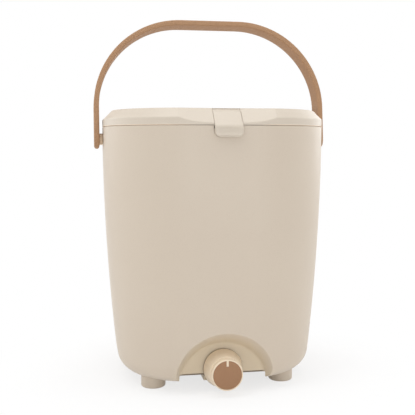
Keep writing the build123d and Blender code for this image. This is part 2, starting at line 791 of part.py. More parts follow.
# Handle: one flat strap bent to an arch, leaning back a little, with a square hole at each pivot
lean = radians(handle_tilt)
arch_plane = Plane((0, 0, handle_pivot_z), x_dir=(1, 0, 0), z_dir=(0, -cos(lean), sin(lean)))
bar_half = handle_centre_x - handle_arc_radius
with BuildPart() as handle:
    with BuildSketch(arch_plane):
        for grow, mode in ((handle_thickness / 2, Mode.ADD), (-handle_thickness / 2, Mode.SUBTRACT)):
            with BuildLine():
                bottom = -handle_end if grow > 0 else -2 * handle_end
                half = handle_centre_x + grow
                radius = handle_arc_radius + grow
                left_leg = Line((-half, bottom), (-half, handle_leg))
                left_arc = CenterArc((-bar_half, handle_leg), radius, 180, -90)
                bar = Line(left_arc @ 1, (bar_half, handle_leg + radius))
                right_arc = CenterArc((bar_half, handle_leg), radius, 90, -90)
                right_leg = Line(right_arc @ 1, (half, bottom))
                Line(right_leg @ 1, left_leg @ 0)
            make_face(mode=mode)
    extrude(amount=handle_width / 2, both=True)
    end_edges = handle.edges().filter_by(Axis.X).filter_by(lambda e: e.length < handle_thickness + 0.1)
    fillet(end_edges, handle_end_corner)
    fillet(handle.faces().filter_by(arch_plane).edges(), handle_edge)
    with BuildSketch(Plane((0, 0, handle_pivot_z), x_dir=(0, cos(lean), -sin(lean)), z_dir=(1, 0, 0))):
        Rectangle(tenon_side + 2 * seat_clearance, tenon_side + 2 * seat_clearance)
    extrude(amount=bin_width, both=True, mode=Mode.SUBTRACT)
finish(handle, "handle")

# Handle pins: a square tenon in the strap, a round boss beside the bin, and a shaft with a snap bead
strap_in = handle_centre_x - handle_thickness / 2 - bin_width / 2
for side, plane in side_planes.items():
    toward = -1 if side == "left" else 1
    strap_across = (0, toward * cos(lean), -toward * sin(lean))
    tenon_plane = Plane(plane.origin, x_dir=strap_across, z_dir=(toward, 0, 0))
    with BuildPart() as pivot_pin:
        with BuildSketch(plane.offset(pin_boss_gap)):
            Circle(pin_boss_radius)
        extrude(amount=strap_in - pin_boss_gap)
        with BuildSketch(tenon_plane.offset(strap_in)):
            Rectangle(tenon_side, tenon_side)
        extrude(amount=handle_thickness)
        with BuildSketch(plane.offset(pin_boss_gap)):
            Circle(pin_radius)
        extrude(amount=-pin_length)
        with BuildSketch(plane.offset(bead_place)):
            Circle(pin_bead_radius)
        extrude(amount=pin_bead_width)
    finish(pivot_pin, f"{side}_pivot_pin")
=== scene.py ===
"""Kitchen bokashi bin: a tapered bin with a hinged lid, a front latch, a carrying handle and a drain tap."""
import logging
from dataclasses import dataclass, field
from enum import Enum
from math import isclose, pi, radians, sqrt
from typing import Any, Iterable, Sequence

import bmesh
import bpy
from bmesh.types import BMEdge, BMFace, BMesh, BMVert
from mathutils import Matrix, Vector


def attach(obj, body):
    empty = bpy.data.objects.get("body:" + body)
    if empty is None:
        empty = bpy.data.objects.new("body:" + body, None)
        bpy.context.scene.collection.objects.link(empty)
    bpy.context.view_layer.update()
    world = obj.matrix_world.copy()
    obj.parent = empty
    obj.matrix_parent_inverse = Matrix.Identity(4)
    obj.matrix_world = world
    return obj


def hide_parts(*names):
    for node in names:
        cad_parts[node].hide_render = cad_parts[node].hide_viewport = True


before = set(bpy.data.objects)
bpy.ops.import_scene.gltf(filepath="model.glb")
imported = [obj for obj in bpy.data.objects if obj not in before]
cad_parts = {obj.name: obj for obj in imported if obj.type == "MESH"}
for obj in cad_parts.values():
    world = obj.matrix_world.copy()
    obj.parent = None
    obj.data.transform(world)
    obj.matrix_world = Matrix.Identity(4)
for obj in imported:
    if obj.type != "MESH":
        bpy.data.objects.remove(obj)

log = logging.getLogger("bokashi_bin")

MM = 0.001
# Places closer than this count as one place when faces and edges are picked, in mm.
NEAR_MM = 0.01
# Vertices closer than this are merged, in mm.
MERGE_MM = 0.0005
# A plane passes through a vertex that is closer than this, in mm.
ON_PLANE_MM = 1e-5
IMAGE_SIZE = 415
SENSOR_MM = 36.0


class Body(str, Enum):
    """The moving bodies of the frame that pieces ride on."""

    BIN = "bin"
    TAP = "tap"
    STRAINER = "strainer"
    LID = "lid"
    LATCH = "latch"
    HANDLE = "handle"


class Slot(str, Enum):
    """The record's material slots."""

    BODY = "body_plastic"
    LID = "lid_plastic"
    TAN = "tan_plastic"
    INNER = "inner_plastic"
    SEAL = "rubber_seal"
    STEEL = "steel"


class Side(int, Enum):
    """The bin's left (-X) and right (+X) side."""

    LEFT = -1
    RIGHT = 1


# Colours and nodes

# The Mix node's colour sockets go by number, because their names repeat for each data type.
MIX_FIRST = 6
MIX_SECOND = 7
MIX_RESULT = 2
# Most values of a noise texture lie in this range.
NOISE_RANGE = (0.3, 0.7)
PLASTIC_IOR = 1.49
SILICONE_IOR = 1.41
WHITE = (1.0, 1.0, 1.0, 1.0)


def linear(code: str) -> tuple[float, float, float, float]:
    """Turn an sRGB hex colour into the linear colour that shaders take.

    Args:
        code: The colour as six hex digits after a hash sign.

    Returns:
        Red, green, blue and alpha, linear.
    """
    channels = [int(code[i:i + 2], 16) / 255 for i in (1, 3, 5)]
    red, green, blue = (c / 12.92 if c <= 0.04045 else ((c + 0.055) / 1.055) ** 2.4 for c in channels)
    return red, green, blue, 1.0


def add_node(
    tree: bpy.types.NodeTree,
    kind: str,
    settings: dict[str, Any] | None = None,
    inputs: dict[str | int, Any] | None = None,
) -> bpy.types.Node:
    """Add a node with its settings, input values and links.

    Args:
        tree: The node tree that takes the node.
        kind: The node's type name.
        settings: Attributes to set on the node.
        inputs: Values for its input sockets, or output sockets to link to them.

    Returns:
        The new node.
    """
    node = tree.nodes.new(kind)
    for name, value in (settings or {}).items():
        setattr(node, name, value)
    for key, value in (inputs or {}).items():
        if isinstance(value, bpy.types.NodeSocket):
            tree.links.new(value, node.inputs[key])
        else:
            node.inputs[key].default_value = value
    return node


def empty_tree(holder: bpy.types.Material | bpy.types.World) -> bpy.types.NodeTree:
    """Switch a material or world to nodes and clear them.

    Args:
        holder: The material or world.

    Returns:
        Its empty node tree.
    """
    holder.use_nodes = True
    holder.node_tree.nodes.clear()
    return holder.node_tree


def object_place(tree: bpy.types.NodeTree) -> bpy.types.NodeSocket:
    """The socket that gives the object coordinates."""
    return add_node(tree, "ShaderNodeTexCoord").outputs["Object"]


def add_noise(tree: bpy.types.NodeTree, place: bpy.types.NodeSocket, size_mm: float, detail: float,
              roughness: float = 0.5) -> bpy.types.Node:
    """Add a noise texture.

    Args:
        tree: The node tree that takes it.
        place: The socket that gives the object coordinates.
        size_mm: How wide its largest patches are, in mm.
        detail: How many finer layers it has.
        roughness: How strong the finer layers are.

    Returns:
        The noise node.
    """
    return add_node(tree, "ShaderNodeTexNoise", inputs={
        "Vector": place, "Scale": 1 / (size_mm * MM), "Detail": detail, "Roughness": roughness})


def mix_colours(tree: bpy.types.NodeTree, share: Any, first: Any, second: Any) -> bpy.types.NodeSocket:
    """Blend two colours.

    Args:
        tree: The node tree that takes the node.
        share: How much of the second colour shows, from 0 to 1, or its socket.
        first: The first colour or its socket.
        second: The second colour or its socket.

    Returns:
        The socket of the blended colour.
    """
    mix = add_node(tree, "ShaderNodeMix", {"data_type": "RGBA"}, {
        "Factor": share, MIX_FIRST: first, MIX_SECOND: second})
    return mix.outputs[MIX_RESULT]


def remap(tree: bpy.types.NodeTree, value: bpy.types.NodeSocket, source: tuple[float, float],
          target: tuple[float, float], smooth: bool = False) -> bpy.types.NodeSocket:
    """Turn one range of values into another.

    Args:
        tree: The node tree that takes the node.
        value: The socket of the value.
        source: Where the incoming range starts and ends.
        target: Where the outgoing range starts and ends.
        smooth: Whether the change eases in and out.

    Returns:
        The socket of the new value.
    """
    settings = {"interpolation_type": "SMOOTHSTEP"} if smooth else {}
    ranged = add_node(tree, "ShaderNodeMapRange", settings, {
        "Value": value, "From Min": source[0], "From Max": source[1], "To Min": target[0], "To Max": target[1]})
    return ranged.outputs["Result"]


def add_relief(tree: bpy.types.NodeTree, height: bpy.types.NodeSocket, depth_mm: float, strength: float,
               below: bpy.types.NodeSocket | None = None) -> bpy.types.NodeSocket:
    """Add a fine relief to the surface.

    Args:
        tree: The node tree that takes the node.
        height: The socket of the height, from 0 to 1.
        depth_mm: How deep the relief is, in mm.
        strength: How much of it shows, from 0 to 1.
        below: The socket of the relief that it lies on.

    Returns:
        The socket of the new normal.
    """
    inputs: dict[str | int, Any] = {"Height": height, "Strength": strength, "Distance": depth_mm * MM}
    if below is not None:
        inputs["Normal"] = below
    return add_node(tree, "ShaderNodeBump", inputs=inputs).outputs["Normal"]


def add_surface(tree: bpy.types.NodeTree, inputs: dict[str | int, Any]) -> None:
    """Add the surface shader and link it to the material's output.

    Args:
        tree: The node tree that takes the nodes.
        inputs: The shader's values and sockets.
    """
    shader = add_node(tree, "ShaderNodeBsdfPrincipled", inputs=inputs)
    add_node(tree, "ShaderNodeOutputMaterial", inputs={"Surface": shader.outputs["BSDF"]})


def add_viewer_test(tree: bpy.types.NodeTree) -> bpy.types.NodeSocket:
    """Add the test whether a ray is the viewer's own, straight, off gloss or through glass.

    Args:
        tree: The node tree that takes the nodes.

    Returns:
        The socket that gives 1 for such a ray and 0 for light on its way.
    """
    path = add_node(tree, "ShaderNodeLightPath")
    seen = add_node(tree, "ShaderNodeMath", {"operation": "MAXIMUM"}, {
        0: path.outputs["Is Camera Ray"], 1: path.outputs["Is Glossy Ray"]})
    through = add_node(tree, "ShaderNodeMath", {"operation": "MAXIMUM"}, {
        0: seen.outputs["Value"], 1: path.outputs["Is Transmission Ray"]})
    return through.outputs["Value"]


# Finishes

@dataclass(frozen=True)
class Room:
    """A room of the object where a colour changes: where it starts and where it is full, in mm.

    middle and spread turn a place into one distance: the offset from middle, each axis times its spread.
    """

    middle: tuple[float, float, float]
    spread: tuple[float, float, float]
    start: float
    full: float


# The band along the seam, and the two stretches of it beside the latch: the rooms of a painted light that pales the
# seam's rounded edges, where the gap's shade falls.
SEAM_BAND = Room(middle=(0.0, 0.0, 293.5), spread=(0.0, 0.0, 1.0), start=1.0, full=0.3)
SEAM_SIDES = Room(middle=(0.0, 0.0, 0.0), spread=(1.0, 0.0, 0.0), start=28.0, full=60.0)
# The scoop as seen from the front, and how deep it goes: the rooms of a painted warm bounce light in the scoop.
SCOOP_ROUND = Room(middle=(0.0, 0.0, 9.6), spread=(1.0, 0.0, 1.0), start=61.5, full=44.0)
SCOOP_DEPTH = Room(middle=(0.0, -130.0, 0.0), spread=(0.0, 1.0, 0.0), start=70.0, full=66.0)
# The scoop's back wall: its plane, its width and its lower edge, where a painted shadow line lies.
SCOOP_BACK = Room(middle=(0.0, -80.0, 0.0), spread=(0.0, 1.0, 0.0), start=5.0, full=4.0)
SCOOP_WIDTH = Room(middle=(0.0, 0.0, 0.0), spread=(1.0, 0.0, 0.0), start=50.0, full=44.0)
SCOOP_FOOT = Room(middle=(0.0, 0.0, 18.9), spread=(0.0, 0.0, 1.0), start=1.9, full=0.9)
# The joint between the tap's foot and the scoop's back wall, where a painted shade ring lies on the tap.
TAP_FOOT = Room(middle=(0.0, -81.8, 0.0), spread=(0.0, 1.0, 0.0), start=1.5, full=0.8)


@dataclass(frozen=True)
class Tint:
    """A colour that a finish takes where rooms of the object overlap."""

    colour: str
    rooms: tuple[Room, ...]


@dataclass(frozen=True)
class MouldedPolypropylene:
    """Injection-moulded polypropylene with a spark-eroded grain.

    The mould's fine grain breaks the gloss into a soft satin, and the pigment clouds a little over the piece.
    Such a grain is about 0.25 mm wide, and is drawn at 0.9 mm so that it shows in the render; its pits get a painted
    shade. The tints follow the photograph and are painted light and shade: a painted light pales the seam's rounded
    edges, where the gap's shade falls, the scoop gets a painted warm bounce light, and a painted shadow darkens the
    joint round the tap's foot and the scoop's lower edge. The tints follow the photograph, and their causes are
    guessed: thin edges beside the seam let light through and look paler, the scoop is warmer, and shade or dirt
    darkens the joint round the tap's foot and the scoop's lower edge.
    """

    name: str
    colour: str
    cloud: str
    # The colour of the painted shade in the grain's pits.
    shade: str
    roughness: float = 0.44
    gloss_spread: float = 0.05
    grain_mm: float = 0.9
    grain_depth_mm: float = 0.02
    pit_range: tuple[float, float] = (0.32, 0.5)
    pit_share: float = 0.16
    cloud_mm: float = 85.0
    wave_mm: float = 60.0
    wave_depth_mm: float = 0.05
    tints: tuple[Tint, ...] = ()

    def build(self) -> bpy.types.Material:
        """Build the material.

        Returns:
            The finished material.
        """
        material = bpy.data.materials.new(self.name)
        tree = empty_tree(material)
        place = object_place(tree)
        clouds = add_noise(tree, place, self.cloud_mm, detail=2.0, roughness=0.45).outputs["Fac"]
        fine = add_noise(tree, place, self.grain_mm, detail=3.0, roughness=0.6).outputs["Fac"]
        waves = add_noise(tree, place, self.wave_mm, detail=1.0, roughness=0.4).outputs["Fac"]
        tone = mix_colours(tree, clouds, linear(self.colour), linear(self.cloud))
        # Painted shade: the grain's pits, where its relief is low, are darkened towards the shade colour.
        pits = remap(tree, fine, self.pit_range, (self.pit_share, 0.0))
        colour = mix_colours(tree, pits, tone, linear(self.shade))
        for tint in self.tints:
            colour = self.add_tint(tree, place, colour, tint)
        rough = remap(tree, fine, NOISE_RANGE, (
            self.roughness + self.gloss_spread, self.roughness - self.gloss_spread))
        swell = add_relief(tree, waves, self.wave_depth_mm, strength=0.5)
        grain = add_relief(tree, fine, self.grain_depth_mm, strength=0.6, below=swell)
        add_surface(tree, {"Base Color": colour, "Roughness": rough, "IOR": PLASTIC_IOR, "Normal": grain})
        return material

    def add_tint(self, tree: bpy.types.NodeTree, place: bpy.types.NodeSocket, base: bpy.types.NodeSocket,
                 tint: Tint) -> bpy.types.NodeSocket:
        """Change the colour where rooms of the object overlap.

        Args:
            tree: The material's node tree.
            place: The socket that gives the object coordinates.
            base: The socket of the colour that is changed.
            tint: The new colour and its rooms.

        Returns:
            The socket of the new colour.
        """
        share = 1.0
        for room in tint.rooms:
            offset = add_node(tree, "ShaderNodeVectorMath", {"operation": "SUBTRACT"}, {
                0: place, 1: [c * MM for c in room.middle]})
            spread = add_node(tree, "ShaderNodeVectorMath", {"operation": "MULTIPLY"}, {
                0: offset.outputs["Vector"], 1: room.spread})
            away = add_node(tree, "ShaderNodeVectorMath", {"operation": "LENGTH"}, {0: spread.outputs["Vector"]})
            fade = remap(tree, away.outputs["Value"], (room.start * MM, room.full * MM), (0.0, 1.0), smooth=True)
            share = add_node(tree, "ShaderNodeMath", {"operation": "MULTIPLY"}, {0: fade, 1: share}).outputs["Value"]
        return mix_colours(tree, share, base, linear(tint.colour))


@dataclass(frozen=True)
class GrainedTanPlastic:
    """Polypropylene moulded with a leather look.

    The mould's pebbled grain gives low domes, and handling polishes the domes; the creases between them get a
    painted shade.
    The grain is 1.3 mm wide, a guess from such grips, because the photograph is too coarse to show it.
    """

    name: str
    colour: str
    cloud: str
    # The colour of the painted shade in the creases between the domes.
    crease: str
    roughness: float = 0.56
    crease_rougher: float = 0.12
    dome_smoother: float = 0.03
    pebble_mm: float = 1.3
    pebble_depth_mm: float = 0.07
    bend_width: float = 2.4
    bend_reach: float = 0.8
    crease_width: float = 0.28
    crease_share: float = 0.45
    fine_mm: float = 0.35
    fine_depth: float = 1 / 3
    cloud_mm: float = 40.0

    def build(self) -> bpy.types.Material:
        """Build the material.

        Returns:
            The finished material.
        """
        material = bpy.data.materials.new(self.name)
        tree = empty_tree(material)
        place = object_place(tree)
        bend = add_noise(tree, place, self.bend_width * self.pebble_mm, detail=1.0)
        shift = add_node(tree, "ShaderNodeVectorMath", {"operation": "MULTIPLY_ADD"}, {
            0: bend.outputs["Color"], 1: (self.pebble_mm * MM * self.bend_reach,) * 3, 2: place})
        pebbles = add_node(tree, "ShaderNodeTexVoronoi", {"feature": "DISTANCE_TO_EDGE"}, {
            "Vector": shift.outputs["Vector"], "Scale": 1 / (self.pebble_mm * MM)})
        domes = remap(tree, pebbles.outputs["Distance"], (0.0, self.crease_width), (0.0, 1.0), smooth=True)
        clouds = add_noise(tree, place, self.cloud_mm, detail=3.0).outputs["Fac"]
        fine = add_noise(tree, place, self.fine_mm, detail=2.0, roughness=0.6).outputs["Fac"]
        tone = mix_colours(tree, clouds, linear(self.colour), linear(self.cloud))
        # Painted shade: the creases between the domes are darkened towards the crease colour.
        depth = remap(tree, domes, (0.0, 1.0), (self.crease_share, 0.0))
        colour = mix_colours(tree, depth, tone, linear(self.crease))
        rough = remap(tree, domes, (0.0, 1.0), (
            self.roughness + self.crease_rougher, self.roughness - self.dome_smoother))
        low = add_relief(tree, domes, self.pebble_depth_mm, strength=0.6)
        top = add_relief(tree, fine, self.pebble_depth_mm * self.fine_depth, strength=0.35, below=low)
        add_surface(tree, {"Base Color": colour, "Roughness": rough, "IOR": PLASTIC_IOR, "Normal": top})
        return material


@dataclass(frozen=True)
class SealRubber:
    """Moulded silicone rubber: dull, with a talc bloom that lightens it in patches."""

    name: str
    colour: str
    bloom: str
    roughness: float = 0.7
    bloom_mm: float = 6.0
    grit_mm: float = 0.6
    grit_depth_mm: float = 0.04

    def build(self) -> bpy.types.Material:
        """Build the material.

        Returns:
            The finished material.
        """
        material = bpy.data.materials.new(self.name)
        tree = empty_tree(material)
        place = object_place(tree)
        patches = add_noise(tree, place, self.bloom_mm, detail=4.0, roughness=0.6).outputs["Fac"]
        grit = add_noise(tree, place, self.grit_mm, detail=2.0).outputs["Fac"]
        colour = mix_colours(tree, patches, linear(self.colour), linear(self.bloom))
        add_surface(tree, {
            "Base Color": colour, "Roughness": self.roughness, "IOR": SILICONE_IOR,
            "Normal": add_relief(tree, grit, self.grit_depth_mm, strength=0.4)})
        return material


@dataclass(frozen=True)
class BrightSteel:
    """Zinc-bright steel rod and screws: a fine bright and dull mottle of the plating, and a cool, even sheen."""

    name: str
    colour: str
    dark: str
    roughness: float = 0.28
    bright_smoother: float = 0.06
    dull_rougher: float = 0.1
    mottle_mm: float = 0.5
    mottle_depth_mm: float = 0.02

    def build(self) -> bpy.types.Material:
        """Build the material.

        Returns:
            The finished material.
        """
        material = bpy.data.materials.new(self.name)
        tree = empty_tree(material)
        place = object_place(tree)
        mottle = add_noise(tree, place, self.mottle_mm, detail=3.0, roughness=0.7).outputs["Fac"]
        colour = mix_colours(tree, mottle, linear(self.colour), linear(self.dark))
        rough = remap(tree, mottle, NOISE_RANGE, (
            self.roughness - self.bright_smoother, self.roughness + self.dull_rougher))
        add_surface(tree, {
            "Base Color": colour, "Metallic": 1.0, "Roughness": rough,
            "Normal": add_relief(tree, mottle, self.mottle_depth_mm, strength=0.3)})
        return material


@dataclass
class Finishes:
    """The bin's finishes, each built once."""

    body: bpy.types.Material = field(init=False)
    lid: bpy.types.Material = field(init=False)
    latch: bpy.types.Material = field(init=False)
    tap: bpy.types.Material = field(init=False)
    strap: bpy.types.Material = field(init=False)
    inlay: bpy.types.Material = field(init=False)
    boss: bpy.types.Material = field(init=False)
    inner: bpy.types.Material = field(init=False)
    seal: bpy.types.Material = field(init=False)
    steel: bpy.types.Material = field(init=False)

    def __post_init__(self) -> None:
        """Build every material."""
        # Painted light: a pale band on the seam's rounded edges, away from the latch, lifts the gap's shade.
        seam_painted_light = Tint("#F3DFC8", (SEAM_BAND, SEAM_SIDES))
        self.body = MouldedPolypropylene(
            "moulded_polypropylene_beige", colour="#D3C6B5", cloud="#D0C2B1", shade="#BBAB98",
            tints=(
                # Painted light at the seam, and a painted warm bounce light in the scoop.
                seam_painted_light, Tint("#DACBB2", (SCOOP_ROUND, SCOOP_DEPTH)),
                # Painted shadow: a dark line along the scoop back wall's lower edge.
                Tint("#6E5F4D", (SCOOP_BACK, SCOOP_WIDTH, SCOOP_FOOT)))).build()
        # The lid and latch are a touch whiter than the body: painted light, standing in for the cooler light from
        # above on the lid's slopes.
        self.lid = MouldedPolypropylene(
            "moulded_polypropylene_cream", colour="#D4C9BA", cloud="#D2C6B6", shade="#BCAF9F",
            tints=(seam_painted_light,)).build()
        self.latch = MouldedPolypropylene(
            "moulded_polypropylene_pale_cream", colour="#D4C9BA", cloud="#D2C6B6", shade="#BCAF9F").build()
        # The tap's ivory is partly its own pale colour and partly painted light, raised to make up for the light
        # that the scoop keeps off it.
        self.tap = MouldedPolypropylene(
            "moulded_polypropylene_ivory", colour="#F2E1C8", cloud="#EEDCC3", shade="#D3C1A7",
            # Painted shade: a dark ring on the tap's foot, in its joint with the scoop's back wall.
            tints=(Tint("#8F775B", (TAP_FOOT,)),)).build()
        self.strap = GrainedTanPlastic(
            "grained_polypropylene_tan", colour="#B9916C", cloud="#B08866", crease="#906D51").build()
        self.inlay = GrainedTanPlastic(
            "fine_grained_polypropylene_brown", colour="#AA8160", cloud="#A47B5A", crease="#8C684B",
            pebble_mm=0.7, pebble_depth_mm=0.025, fine_mm=0.25, cloud_mm=18.0).build()
        # Painted light: the boss is far lighter than its own tan, to make up for the shade that the strap and the
        # wall cast on it.
        self.boss = MouldedPolypropylene(
            "moulded_polypropylene_tan_painted_light", colour="#F6E0C4", cloud="#F2DABC", shade="#D2B08A",
            cloud_mm=20.0, grain_mm=0.6).build()
        self.inner = MouldedPolypropylene(
            "moulded_polypropylene_natural", colour="#DCD2C4", cloud="#D6CBBC", shade="#BDB0A0",
            roughness=0.5).build()
        self.seal = SealRubber("moulded_silicone_rubber", colour="#8E867C", bloom="#A59D93").build()
        self.steel = BrightSteel("turned_zinc_bright_steel", colour="#C9CBCC", dark="#A9ABAD").build()


# Modelling

@dataclass
class Workpiece:
    """A bmesh on the bench: operators shape it in millimetres, and close() makes it a piece of the frame."""

    name: str
    bm: BMesh = field(default_factory=bmesh.new)

    def spin(self, geom: Iterable[Any], centre: Sequence[float], axis: Sequence[float],
             angle: float, steps: int) -> list[Any]:
        """Sweep geometry round an axis.

        Args:
            geom: Faces, edges and vertices to sweep.
            centre: A point on the axis.
            axis: The axis direction.
            angle: The turn in radians.
            steps: How many steps the turn takes.

        Returns:
            The geometry at the far end.
        """
        turned = bmesh.ops.spin(
            self.bm, geom=list(geom), cent=centre, axis=axis, dvec=(0, 0, 0), angle=angle, steps=steps,
            use_merge=isclose(angle, 2 * pi), use_normal_flip=False, use_duplicate=False)
        return turned["geom_last"]

    def push(self, faces: Iterable[BMFace], move: Sequence[float]) -> list[BMFace]:
        """Extrude faces along a vector.

        Args:
            faces: The faces to extrude.
            move: How far they go, in mm.

        Returns:
            The faces at the far end.
        """
        moved = bmesh.ops.extrude_face_region(self.bm, geom=list(faces))["geom"]
        bmesh.ops.translate(self.bm, verts=[v for v in moved if isinstance(v, BMVert)], vec=move)
        return [f for f in moved if isinstance(f, BMFace)]

    def disc(self, radius: float, centre: Sequence[float], segments: int = 96) -> BMFace:
        """Lay a round face that looks to the front.

        Args:
            radius: Its radius, in mm.
            centre: Its centre.
            segments: How many sides it has.

        Returns:
            The face.
        """
        upright = Matrix.Translation(centre) @ Matrix.Rotation(pi / 2, 4, "X")
        ring = bmesh.ops.create_circle(self.bm, cap_ends=True, radius=radius, segments=segments, matrix=upright)
        return ring["verts"][0].link_faces[0]

    def block(self, size: Sequence[float], matrix: Matrix, edge: float) -> None:
        """Add a bar with rounded edges.

        Args:
            size: Its size along X, Y and Z, in mm.
            matrix: Where its middle goes, and how it is turned.
            edge: The rounding, in mm.
        """
        scale = Matrix.Diagonal((*size, 1.0))
        verts = bmesh.ops.create_cube(self.bm, size=1.0, matrix=matrix @ scale)["verts"]
        self.soften(self.edges_of(verts), edge, segments=2)

    def soften(self, edges: Iterable[BMEdge], radius: float, segments: int = 3) -> None:
        """Round edges over.

        Args:
            edges: The edges to round.
            radius: How far the rounding reaches, in mm.
            segments: How many strips it has.
        """
        bmesh.ops.bevel(
            self.bm, geom=list(edges), offset=radius, offset_type="OFFSET", affect="EDGES",
            segments=segments, profile=0.5, material=-1, clamp_overlap=True)

    def crisp_edges(self, degrees: float = 60.0) -> list[BMEdge]:
        """The edges whose faces meet at more than an angle."""
        return [e for e in self.bm.edges if len(e.link_faces) == 2 and e.calc_face_angle(0) > radians(degrees)]

    def edges_of(self, owners: Iterable[BMFace | BMVert]) -> list[BMEdge]:
        """The edges of some faces or vertices, in the mesh's own order."""
        chosen = set(owners)
        return [e for e in self.bm.edges if not chosen.isdisjoint((*e.link_faces, *e.verts))]

    def cut(self, point: Sequence[float], normal: Sequence[float]) -> None:
        """Divide every face that a plane crosses."""
        geom = [*self.bm.verts, *self.bm.edges, *self.bm.faces]
        bmesh.ops.bisect_plane(self.bm, geom=geom, plane_co=point, plane_no=normal, dist=ON_PLANE_MM)

    def drop(self, faces: Iterable[BMFace]) -> None:
        """Delete the faces that are still there, and the edges and vertices that only they use."""
        bmesh.ops.delete(self.bm, geom=[f for f in faces if f.is_valid], context="FACES")

    def round_corners(self, corners: Sequence[BMVert], radius: float, segments: int) -> None:
        """Round corners of a flat face.

        Args:
            corners: The vertices to round.
            radius: How far the rounding reaches, in mm.
            segments: How many straight pieces it has.
        """
        bmesh.ops.bevel(
            self.bm, geom=list(corners), offset=radius, offset_type="OFFSET", affect="VERTICES",
            segments=segments, profile=0.5, material=-1, clamp_overlap=True)

    def close(
        self,
        body: Body,
        slot: Slot,
        material: bpy.types.Material,
        replaces: Sequence[str],
        smooth_deg: float = 35.0,
    ) -> bpy.types.Object:
        """Merge, turn the faces outwards, and hand the piece to the frame.

        Args:
            body: The body that it rides on.
            slot: The record's slot of its finish; not used.
            material: Its finish.
            replaces: The CAD nodes that it stands for.
            smooth_deg: Edges sharper than this stay crisp in shading.

        Returns:
            The finished object.
        """
        bmesh.ops.remove_doubles(self.bm, verts=self.bm.verts[:], dist=MERGE_MM)
        bmesh.ops.recalc_face_normals(self.bm, faces=self.bm.faces[:])
        bmesh.ops.scale(self.bm, vec=(MM, MM, MM), verts=self.bm.verts[:])
        for face in self.bm.faces:
            face.smooth = True
        for edge in self.bm.edges:
            edge.smooth = len(edge.link_faces) != 2 or edge.calc_face_angle(0) < radians(smooth_deg)
        mesh = bpy.data.meshes.new(self.name)
        self.bm.to_mesh(mesh)
        self.bm.free()
        mesh.materials.append(material)
        piece = bpy.data.objects.new(self.name, mesh)
        bpy.context.scene.collection.objects.link(piece)
        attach(piece, body.value)
        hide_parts(*replaces)
        log.info("%s stands for %s, with %d faces", self.name, ", ".join(replaces), len(mesh.polygons))
        return piece


@dataclass
class Handle:
    """The carrying handle: one flat strap bent to an arch, with a square hole for a pin at each end."""

    finishes: Finishes
    pivot_z: float = 279.2
    centre_x: float = 133.7
    leg: float = 36.6
    arc_radius: float = 99.4
    arc_steps: int = 28
    width: float = 24.0
    thickness: float = 6.0
    end: float = 11.0
    end_corner: float = 10.5
    edge: float = 1.2
    tilt_deg: float = 6.2
    tenon: float = 7.1
    tip_start: float = -7.4
    tip_rows: tuple[float, ...] = (-7.4, -8.4, -9.2, -9.8, -10.3, -10.7)
    tip_taper: float = 0.8
    smooth_deg: float = 50.0

    def build(self) -> None:
        """Build the strap as one half and its mirror."""
        strap = Workpiece("handle_strap")
        bm = strap.bm
        self.sweep_half(strap)
        strap.soften(strap.crisp_edges(), self.edge, segments=4)
        self.cut_hole(strap)
        self.round_tip(strap)
        half = bm.verts[:] + bm.edges[:] + bm.faces[:]
        bmesh.ops.mirror(bm, geom=half, axis="X", merge_dist=MERGE_MM)
        turn = Matrix.Rotation(-radians(self.tilt_deg), 4, "X")
        bmesh.ops.transform(bm, matrix=Matrix.Translation((0, 0, self.pivot_z)) @ turn, verts=bm.verts[:])
        strap.close(Body.HANDLE, Slot.TAN, self.finishes.strap, ["handle"], smooth_deg=self.smooth_deg)

    def sweep_half(self, strap: Workpiece) -> None:
        """Lay the left leg with its round end, bend it over the arc, and run it to the middle.

        Args:
            strap: The empty workpiece, which gets the left half, upright, with the pin's axis at the origin.
        """
        bm = strap.bm
        half = self.width / 2
        outer_x = -self.centre_x - self.thickness / 2
        corners = [bm.verts.new((outer_x, y, z)) for y, z in (
            (-half, -self.end), (half, -self.end), (half, self.leg), (-half, self.leg))]
        bm.faces.new(corners)
        strap.round_corners(corners[:2], self.end_corner, segments=10)
        strap.push(bm.faces[:], (self.thickness, 0, 0))
        top = [f for f in bm.faces if f.calc_center_median().z > self.leg - NEAR_MM]
        bar_half = self.centre_x - self.arc_radius
        swept = strap.spin(top, (-bar_half, 0, self.leg), (0, 1, 0), pi / 2, self.arc_steps)
        crown = [f for f in swept if isinstance(f, BMFace)]
        middle = strap.push(crown, (bar_half, 0, 0))
        strap.drop([*top, *crown, *middle])

    def cut_hole(self, strap: Workpiece) -> None:
        """Cut the square hole for the pin's tenon through both flats.

        Args:
            strap: The strap's left half, upright.
        """
        reach = self.tenon / 2
        for side in (1, -1):
            strap.cut((0, side * reach, 0), (0, 1, 0))
        for side in (1, -1):
            strap.cut((0, 0, side * reach), (0, 0, 1))
        flats = [f for f in strap.bm.faces if f.calc_center_median().yz.length < reach / 4]
        rims = strap.edges_of(flats)
        strap.drop(flats)
        bmesh.ops.bridge_loops(strap.bm, edges=rims)

    def round_tip(self, strap: Workpiece) -> None:
        """Thin the strap's lower end to a rounded tip.

        Args:
            strap: The strap's left half, upright.
        """
        for row in self.tip_rows:
            strap.cut((0, 0, row), (0, 0, 1))
        reach = self.end + self.tip_start
        middle = -self.centre_x
        for vert in strap.bm.verts:
            if vert.co.z < self.tip_start:
                share = min((self.tip_start - vert.co.z) / reach, 1.0)
                vert.co.x = middle + (vert.co.x - middle) * sqrt(1 - self.tip_taper * share ** 2)


